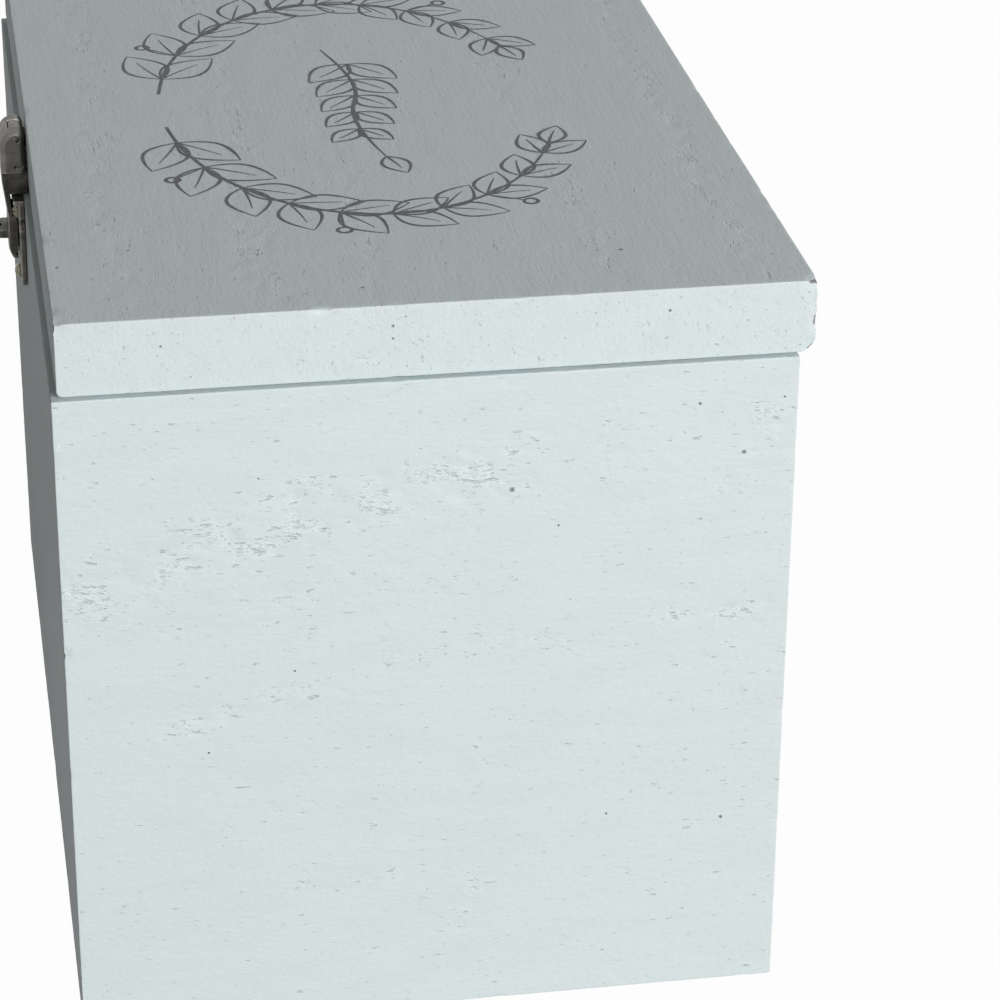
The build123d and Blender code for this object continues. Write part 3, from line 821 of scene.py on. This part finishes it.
@dataclass
class LidOrnament:
    """Leafy wreath printed on the lid in thin lines."""

    ink: PrintedInk = PrintedInk("printed_ink")
    half_length_mm: float = 58.0
    half_depth_mm: float = 37.0
    stem_gap_degrees: float = 9.0
    stem_end_degrees: float = 152.0
    leaf_count: int = 10
    leaf_length_mm: float = 15.0
    leaf_half_width_mm: float = 3.1
    leaf_spread_degrees: float = 34.0
    leaf_bow: float = 1.35
    leaf_rib: float = 0.72
    end_leaf: float = 0.6
    berry_radius_mm: float = 1.3
    berry_stalk_mm: float = 7.0
    berry_sides: int = 12
    berry_turn_degrees: float = 70.0
    sprig_half_length_mm: float = 30.0
    sprig_pairs: int = 5
    sprig_spread_degrees: float = 42.0
    line_mm: float = 0.75
    film_mm: float = 0.03
    sink: float = 1.3
    stem_points: int = 25
    splines: list[tuple[list[Vector], list[float]]] = field(default_factory=list)

    def build(self) -> bpy.types.Object:
        """Draw the wreath and the sprig inside it as one thin film.

        Returns:
            The printed ornament, which rides on the lid.
        """
        for side in (-1, 1):
            self.draw_stem(side)
        self.draw_sprig()
        curve = bpy.data.curves.new("ornament_lines", "CURVE")
        curve.dimensions = "3D"
        curve.bevel_depth = self.line_mm * MM / 2
        curve.bevel_resolution = 1
        curve.resolution_u = 5
        curve.use_fill_caps = True
        for points, widths in self.splines:
            spline = curve.splines.new("NURBS")
            spline.points.add(len(points) - 1)
            for target, point, width in zip(spline.points, points, widths):
                target.co = (point.x * MM, point.y * MM, 0.0, 1.0)
                target.radius = width
            spline.order_u = 3
            spline.use_endpoint_u = True
        holder = bpy.data.objects.new("ornament_lines", curve)
        bpy.context.scene.collection.objects.link(holder)
        bpy.context.view_layer.update()
        mesh = bpy.data.meshes.new_from_object(holder.evaluated_get(bpy.context.evaluated_depsgraph_get()))
        bpy.data.objects.remove(holder)
        work = bmesh.new()
        work.from_mesh(mesh)
        bpy.data.meshes.remove(mesh)
        flat = 2 * self.film_mm / self.line_mm
        bmesh.ops.scale(work, vec=(1.0, 1.0, flat), verts=work.verts)
        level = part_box("lid_board")[1].z - self.sink * self.film_mm * MM
        bmesh.ops.translate(work, vec=(0.0, 0.0, level), verts=work.verts)
        return make_piece(work, "lid_ornament", self.ink.material(), "lid")

    def on_oval(self, degrees: float, side: int) -> Vector:
        """Find a place on the wreath's oval.

        Args:
            degrees: Its angle from the front middle.
            side: -1 for the left half and 1 for the right.

        Returns:
            The place, in millimetres.
        """
        angle = math.radians(degrees)
        x, y = side * self.half_length_mm * math.sin(angle), -self.half_depth_mm * math.cos(angle)
        return Vector((x, y, 0.0))

    def draw_line(self, points: list[Vector], start: float, middle: float, end: float) -> None:
        """Keep one line that swells in its middle.

        Args:
            points: Control points of the line.
            start: Share of the full width at its start.
            middle: Share of the full width halfway.
            end: Share of the full width at its end.
        """
        last = len(points) - 1
        widths = []
        for index in range(len(points)):
            share = index / last
            side = start if share < 0.5 else end
            widths.append(side + (middle - side) * math.sin(math.pi * share))
        self.splines.append((points, widths))

    def draw_leaf(self, root: Vector, heading: float, length: float) -> None:
        """Draw one leaf: two curved sides that meet in a point, and a rib.

        Args:
            root: Where it joins the stem.
            heading: Direction of its tip, in radians from X.
            length: Its length in millimetres.
        """
        ahead = Vector((math.cos(heading), math.sin(heading), 0.0))
        beside = Vector((-ahead.y, ahead.x, 0.0))
        half = self.leaf_half_width_mm * length / self.leaf_length_mm
        tip = root + ahead * length
        for way in (-1, 1):
            bow = beside * (way * half * self.leaf_bow)
            low, high = root + ahead * (length * 0.22) + bow, root + ahead * (length * 0.66) + bow
            self.draw_line([root, low, high, tip], 0.5, 1.0, 0.35)
        rib_middle = root + ahead * (length * 0.4) + beside * (half * 0.12)
        rib_end = root + ahead * (length * self.leaf_rib)
        self.draw_line([root, rib_middle, rib_end], 0.7, 0.6, 0.25)

    def draw_stem(self, side: int) -> None:
        """Draw one half of the wreath, with its leaves and berries.

        Args:
            side: -1 for the left half and 1 for the right.
        """
        span = self.stem_end_degrees - self.stem_gap_degrees
        last = self.stem_points - 1
        angles = [self.stem_gap_degrees + span * index / last for index in range(self.stem_points)]
        self.draw_line([self.on_oval(angle, side) for angle in angles], 0.9, 1.2, 0.4)
        for index in range(self.leaf_count):
            angle = self.stem_gap_degrees + span * (index + 0.6) / self.leaf_count
            root = self.on_oval(angle, side)
            ahead = self.on_oval(angle + 1.0, side) - root
            heading = math.atan2(ahead.y, ahead.x)
            size = self.leaf_length_mm * (1.0 - 0.35 * index / self.leaf_count)
            for way in (-1, 1):
                turn = way * math.radians(self.leaf_spread_degrees + 4.0 * math.sin(2.3 * index))
                self.draw_leaf(root, heading + turn, size)
            if index % 3 == 1:
                self.draw_berry(root, heading + math.radians(self.berry_turn_degrees) * (-side))
        tip = self.on_oval(self.stem_end_degrees, side)
        ahead = tip - self.on_oval(self.stem_end_degrees - 1.0, side)
        self.draw_leaf(tip, math.atan2(ahead.y, ahead.x), self.leaf_length_mm * self.end_leaf)

    def draw_berry(self, root: Vector, heading: float) -> None:
        """Draw a berry on a short stalk.

        Args:
            root: Where the stalk leaves the stem.
            heading: Direction of the stalk, in radians from X.
        """
        ahead = Vector((math.cos(heading), math.sin(heading), 0.0))
        stalk = ahead * self.berry_stalk_mm
        self.draw_line([root, root + stalk / 2, root + stalk], 0.6, 0.6, 0.6)
        centre = root + ahead * (self.berry_stalk_mm + self.berry_radius_mm)
        step = 2 * math.pi / self.berry_sides
        turns = [heading + math.pi + step * index for index in range(self.berry_sides + 1)]
        rays = [Vector((math.cos(turn), math.sin(turn), 0.0)) for turn in turns]
        ring = [centre + ray * self.berry_radius_mm for ray in rays]
        self.draw_line(ring, 0.8, 1.0, 0.8)

    def draw_sprig(self) -> None:
        """Draw the sprig that lies along the middle of the wreath."""
        half = self.sprig_half_length_mm
        tip = Vector((half, 2.0, 0.0))
        bends = [Vector((-half / 3, 3.0, 0.0)), Vector((half / 3, -3.0, 0.0))]
        self.draw_line([Vector((-half, -3.0, 0.0)), *bends, tip], 0.5, 1.2, 0.4)
        for index in range(self.sprig_pairs):
            x = -half * 0.7 + 1.5 * half * index / self.sprig_pairs
            root = Vector((x, -1.3 * math.sin(2.2 * x / half), 0.0))
            for way in (-1, 1):
                turn = way * math.radians(self.sprig_spread_degrees)
                self.draw_leaf(root, turn, self.leaf_length_mm * (0.85 - 0.07 * index))
        self.draw_leaf(tip, math.radians(18.0), self.leaf_length_mm * self.end_leaf)


@dataclass
class Fitting:
    """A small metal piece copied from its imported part, its edges eased and rubbed."""

    node: str
    body: str
    slot: str
    voxel_mm: float = 0.0
    smooth_steps: int = 2
    rub: float = 6.0
    # Amount of painted shade below the set height.
    painted_shade: float = 0.0
    unshaded_above_mm: float = 200.0
    sharp_degrees: float = 30.0

    def build(self, material: bpy.types.Material) -> bpy.types.Object:
        """Make the piece.

        Args:
            material: Its metal.

        Returns:
            The piece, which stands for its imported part.
        """
        work = merged_copy(self.node)
        if self.voxel_mm:
            work = self.cast(work)
        self.note_wear(work)
        return make_piece(
            work, f"{self.node}_finished", material, self.body, (self.node,), self.sharp_degrees
        )

    def cast(self, work: bmesh.types.BMesh) -> bmesh.types.BMesh:
        """Soften the shape as casting does, on a fine and even mesh.

        Args:
            work: The sharp shape. It is freed.

        Returns:
            The softened mesh.
        """
        mesh = bpy.data.meshes.new(self.node)
        work.to_mesh(mesh)
        work.free()
        holder = bpy.data.objects.new(self.node, mesh)
        bpy.context.scene.collection.objects.link(holder)
        remesh = holder.modifiers.new("even", "REMESH")
        remesh.mode = "VOXEL"
        remesh.voxel_size = self.voxel_mm * MM
        bpy.context.view_layer.update()
        even = bpy.data.meshes.new_from_object(holder.evaluated_get(bpy.context.evaluated_depsgraph_get()))
        bpy.data.objects.remove(holder)
        soft = bmesh.new()
        soft.from_mesh(even)
        bpy.data.meshes.remove(even)
        for _ in range(self.smooth_steps):
            bmesh.ops.smooth_vert(
                soft, verts=soft.verts, factor=0.5, use_axis_x=True, use_axis_y=True, use_axis_z=True
            )
        return soft

    def note_wear(self, work: bmesh.types.BMesh) -> None:
        """Mark raised edges as rubbed, by how far each vertex stands out of its neighbours, and low places as
        painted shade.

        Args:
            work: The piece's mesh.
        """
        wear = work.verts.layers.float.new("wear")
        painted_shade = work.verts.layers.float.new("painted_shade")
        work.normal_update()
        for vert in work.verts:
            # Below the set height the piece takes painted shade.
            vert[painted_shade] = self.painted_shade if vert.co.z < self.unshaded_above_mm * MM else 0.0
            around = [edge.other_vert(vert).co for edge in vert.link_edges]
            if not around:
                continue
            middle = sum(around, Vector()) / len(around)
            spacing = sum((place - vert.co).length for place in around) / len(around)
            out = (vert.co - middle).dot(vert.normal) / max(spacing, 1e-9)
            vert[wear] = max(0.0, min(1.0, self.rub * out))


@dataclass
class Clasp:
    """Hasp, catch plate, staple and their screws at the front."""

    bronze: AgedMetal = AgedMetal("aged_bronze", "#5f5d59", "#98968f")
    brass: AgedMetal = AgedMetal("screw_brass", "#5f5d4e", "#a9a792", roughness=0.3)

    def build(self) -> None:
        """Make the clasp's pieces."""
        bronze, brass = self.bronze.material(), self.brass.material()
        for fitting in (
            # The low parts of these pieces take painted shade.
            Fitting("hasp_strap", "hasp", "aged_bronze", voxel_mm=0.14, painted_shade=0.75, unshaded_above_mm=129.7),
            Fitting("catch_plate", "box", "aged_bronze", voxel_mm=0.14, painted_shade=0.5, unshaded_above_mm=124.1),
            Fitting("catch_staple", "box", "aged_bronze", voxel_mm=0.1, painted_shade=0.7),
            Fitting("hasp_leaf", "lid", "aged_bronze", voxel_mm=0.1),
            Fitting("hasp_pin", "lid", "aged_bronze", rub=0.5),
        ):
            fitting.build(bronze)
        for node, body in (("catch_screws", "box"), ("hasp_leaf_screws", "lid")):
            Fitting(node, body, "screw_brass", rub=0.5).build(brass)


@dataclass
class Hinges:
    """Two butt hinges let into the back board and the lid."""

    bronze: AgedMetal = AgedMetal("hinge_bronze", "#54483a", "#9c8a6c", roughness=0.4)

    def build(self, brass: bpy.types.Material) -> None:
        """Make the hinges' pieces.

        Args:
            brass: Finish of the screws.
        """
        bronze = self.bronze.material()
        for side in ("left", "right"):
            Fitting(f"{side}_hinge_body_leaf", "box", "hinge_bronze", rub=0.5).build(bronze)
            Fitting(f"{side}_hinge_lid_leaf", "lid", "hinge_bronze", rub=0.5).build(bronze)
            Fitting(f"{side}_hinge_pin", "box", "hinge_bronze", rub=0.5).build(bronze)
            Fitting(f"{side}_hinge_body_screws", "box", "screw_brass", rub=0.5).build(brass)
            Fitting(f"{side}_hinge_lid_screws", "lid", "screw_brass", rub=0.5).build(brass)


@dataclass
class Underside:
    """Bottom panel and its brads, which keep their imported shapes."""

    panel: Plywood = Plywood("painted_plywood")
    steel: AgedMetal = AgedMetal("bare_steel", "#6b6c6d", "#a3a5a6", roughness=0.45)

    def dress(self) -> None:
        """Give both their finishes."""
        for node, finish in (("bottom_panel", self.panel), ("panel_brads", self.steel)):
            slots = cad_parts[node].data.materials
            slots.clear()
            slots.append(finish.material())
            LOG.info("%s: packed part, finish %s", node, finish.name)


@dataclass
class Studio:
    """Pale floor, soft light and the camera."""

    camera_place: tuple[float, float, float] = (0.6345, -0.0800, 0.3719)
    camera_turn_degrees: float = 9.726
    camera_drop_degrees: float = 26.419
    camera_roll_degrees: float = 0.505
    lens: float = 127.9
    sensor: float = 36.0
    floor_half: float = 4.0
    floor_colour: str = "#858787"
    floor_glow: float = 0.98
    world_colour: str = "#e8e6e4"
    world_strength: float = 0.1
    aim: tuple[float, float, float] = (0.0, 0.0, 0.07)
    key_place: tuple[float, float, float] = (2.7, 1.275, 1.045)
    key_size: float = 1.35
    key_watts: float = 89.5
    fill_place: tuple[float, float, float] = (-1.4, 1.7, 0.9)
    fill_size: float = 1.6
    fill_watts: float = 7.5

    def build(self) -> None:
        """Set the floor, the world, the lamps and the camera."""
        self.build_floor()
        self.build_world()
        self.build_lamp("key", self.key_place, self.key_size, self.key_watts)
        self.build_lamp("back_fill", self.fill_place, self.fill_size, self.fill_watts)
        self.build_camera()
        bpy.context.scene.view_settings.view_transform = "Standard"

    def build_floor(self) -> None:
        """Lay a plain floor that shows the camera a paler tone than it gives to the box."""
        work = bmesh.new()
        bmesh.ops.create_grid(work, x_segments=1, y_segments=1, size=self.floor_half)
        mesh = bpy.data.meshes.new("floor")
        work.to_mesh(mesh)
        work.free()
        floor = bpy.data.objects.new("floor", mesh)
        bpy.context.scene.collection.objects.link(floor)
        material, tree = new_material("pale_floor")
        rays = add(tree, "ShaderNodeLightPath", {}, {})
        seen = combine(tree, "MAXIMUM", rays.outputs["Is Camera Ray"], rays.outputs["Is Glossy Ray"])
        pale = combine(tree, "MULTIPLY", seen, self.floor_glow)
        matt = add(tree, "ShaderNodeBsdfDiffuse", {}, {"Color": linear(self.floor_colour)})
        glow = add(tree, "ShaderNodeEmission", {}, {"Color": (1.0, 1.0, 1.0, 1.0), "Strength": 1.0})
        finish_material(tree, add(tree, "ShaderNodeMixShader", {}, {
            0: pale, 1: matt.outputs[0], 2: glow.outputs[0],
        }))
        mesh.materials.append(material)

    def build_world(self) -> None:
        """Give an even, dim light from all round, and white behind the box."""
        world = bpy.data.worlds.new("studio")
        bpy.context.scene.world = world
        world.use_nodes = True
        tree = world.node_tree
        tree.nodes.clear()
        rays = add(tree, "ShaderNodeLightPath", {}, {})
        seen = combine(tree, "MAXIMUM", rays.outputs["Is Camera Ray"], rays.outputs["Is Glossy Ray"])
        dim = add(tree, "ShaderNodeBackground", {}, {
            "Color": linear(self.world_colour), "Strength": self.world_strength,
        })
        white = add(tree, "ShaderNodeBackground", {}, {"Color": (1.0, 1.0, 1.0, 1.0), "Strength": 1.0})
        mixed = add(tree, "ShaderNodeMixShader", {}, {0: seen, 1: dim.outputs[0], 2: white.outputs[0]})
        add(tree, "ShaderNodeOutputWorld", {}, {"Surface": mixed.outputs[0]})

    def build_lamp(self, name: str, place: tuple[float, float, float], size: float, watts: float) -> None:
        """Hang one large soft lamp that faces the box.

        Args:
            name: Name of the lamp.
            place: Where it hangs.
            size: Side of its square face.
            watts: Its power.
        """
        light = bpy.data.lights.new(name, "AREA")
        light.shape = "SQUARE"
        light.size = size
        light.energy = watts
        lamp = bpy.data.objects.new(name, light)
        bpy.context.scene.collection.objects.link(lamp)
        lamp.location = place
        lamp.rotation_mode = "QUATERNION"
        lamp.rotation_quaternion = (Vector(self.aim) - Vector(place)).to_track_quat("-Z", "Y")

    def build_camera(self) -> None:
        """Put the camera where the photograph was taken from."""
        data = bpy.data.cameras.new("camera")
        data.lens = self.lens
        data.sensor_width = self.sensor
        data.clip_start = 0.01
        camera = bpy.data.objects.new("camera", data)
        bpy.context.scene.collection.objects.link(camera)
        turn, drop = math.radians(self.camera_turn_degrees), math.radians(self.camera_drop_degrees)
        ahead = Vector((-math.cos(drop) * math.cos(turn), math.cos(drop) * math.sin(turn), -math.sin(drop)))
        roll = Quaternion((0.0, 0.0, 1.0), math.radians(self.camera_roll_degrees))
        camera.location = self.camera_place
        camera.rotation_mode = "QUATERNION"
        camera.rotation_quaternion = ahead.to_track_quat("-Z", "Y") @ roll
        bpy.context.scene.camera = camera


def main() -> None:
    """Build the box's pieces in order, then set up the studio."""
    logging.basicConfig(level=logging.INFO, format="%(name)s: %(message)s")
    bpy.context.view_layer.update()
    PaintedBoards().build()
    LidOrnament().build()
    clasp = Clasp()
    clasp.build()
    Hinges().build(bpy.data.materials[clasp.brass.name])
    Underside().dress()
    Studio().build()


if __name__ == "__main__":
    main()
